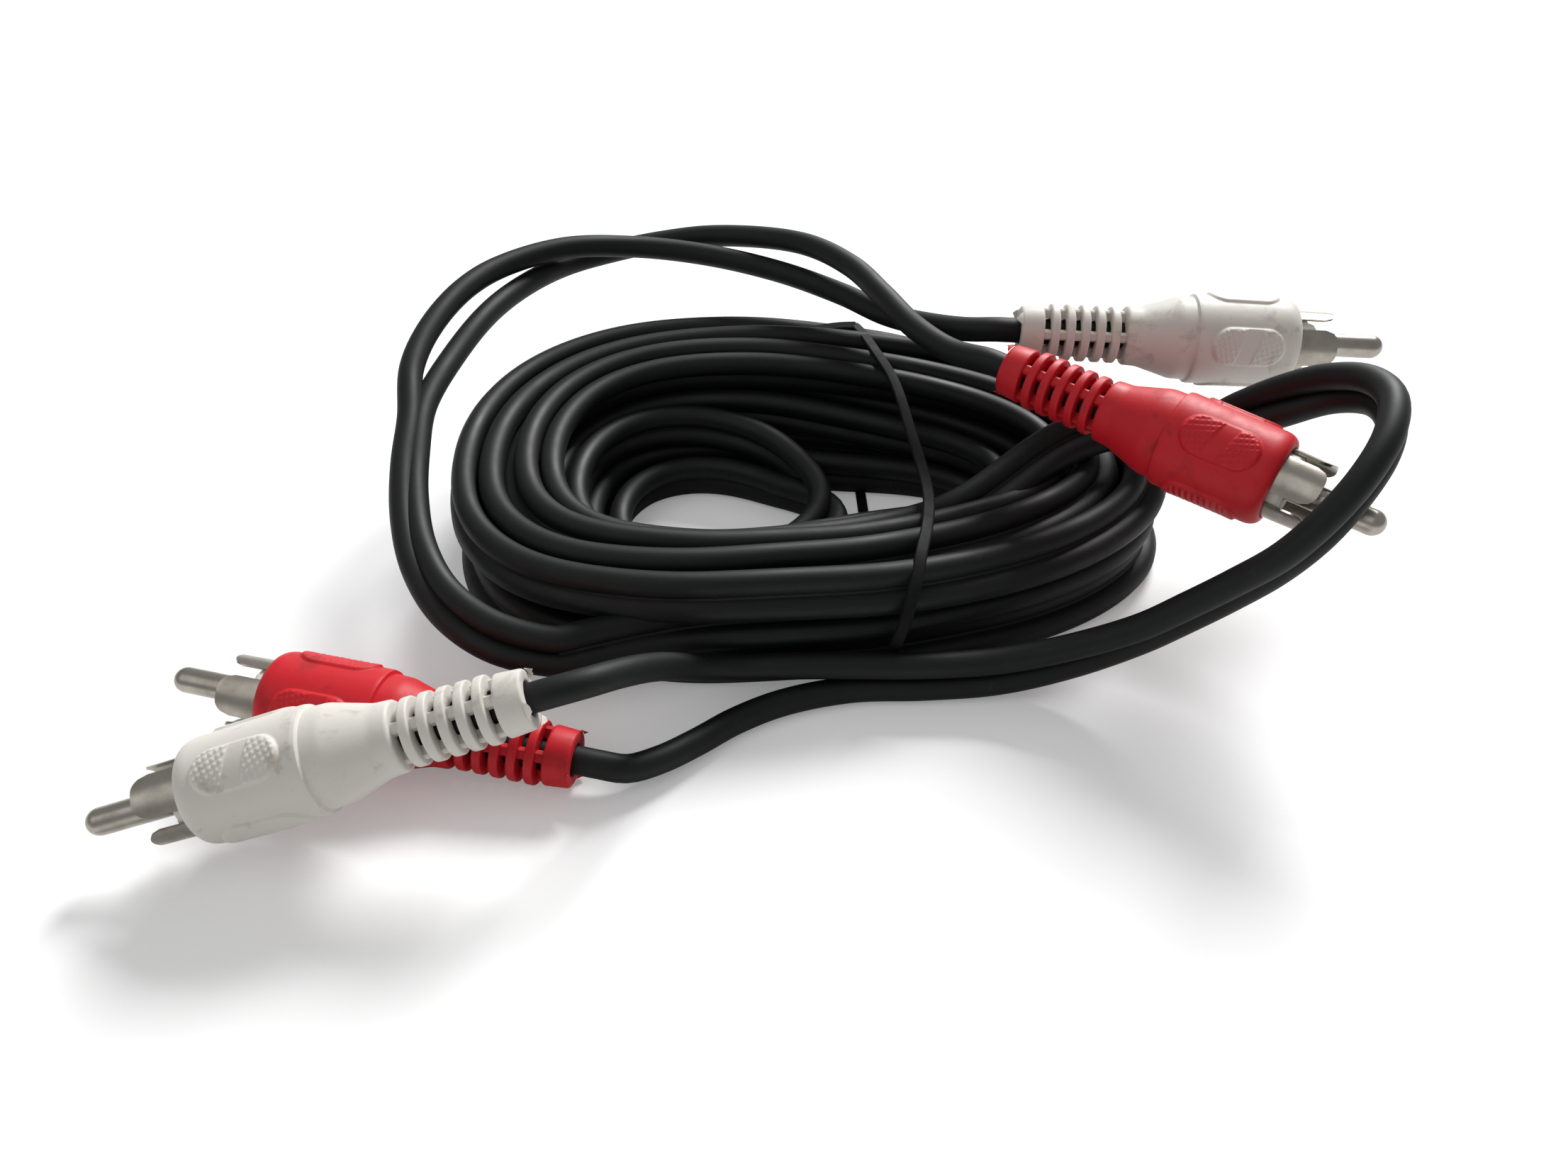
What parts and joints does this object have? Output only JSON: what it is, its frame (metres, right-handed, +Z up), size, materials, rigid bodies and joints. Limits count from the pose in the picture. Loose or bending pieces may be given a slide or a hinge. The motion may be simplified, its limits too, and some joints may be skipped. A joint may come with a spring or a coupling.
{
  "type": "stereo audio cable with phono plugs",
  "caption": "Black twin audio lead wound in a tied hank, with a white and a red moulded phono plug on split tails at each end.",
  "frame": {"origin": "centre of the bounding box in plan, at the plane that the hank lies on", "axes": "+X along the longest side, towards the two plugs that lie on the hank; +Y away from the two plugs on the floor; +Z up"},
  "size_m": [0.1611, 0.1125, 0.0405],
  "materials": {
    "white_pvc": "soft moulded, slightly soiled",
    "red_pvc": "soft moulded",
    "black_jacket": "matte extruded PVC",
    "tie_band": "flat coated strip",
    "nickel": "nickel plate, lightly brushed",
    "insulation": "natural",
    "copper": "bare wire"
  },
  "bodies": {
    "root": {"left_white_plug_body": "white_pvc", "left_white_ground_shell": "nickel", "left_white_insulator": "insulation", "left_white_center_pin": "nickel", "left_white_signal_core": "copper", "left_white_shield_wire": "copper", "left_white_lead": "black_jacket", "left_red_plug_body": "red_pvc", "left_red_ground_shell": "nickel", "left_red_insulator": "insulation", "left_red_center_pin": "nickel", "left_red_signal_core": "copper", "left_red_shield_wire": "copper", "left_red_lead": "black_jacket", "right_white_plug_body": "white_pvc", "right_white_ground_shell": "nickel", "right_white_insulator": "insulation", "right_white_center_pin": "nickel", "right_white_signal_core": "copper", "right_white_shield_wire": "copper", "right_white_lead": "black_jacket", "right_red_plug_body": "red_pvc", "right_red_ground_shell": "nickel", "right_red_insulator": "insulation", "right_red_center_pin": "nickel", "right_red_signal_core": "copper", "right_red_shield_wire": "copper", "right_red_lead": "black_jacket", "cable_hank": "black_jacket", "hank_tie": "tie_band"}
  },
  "joints": []
}
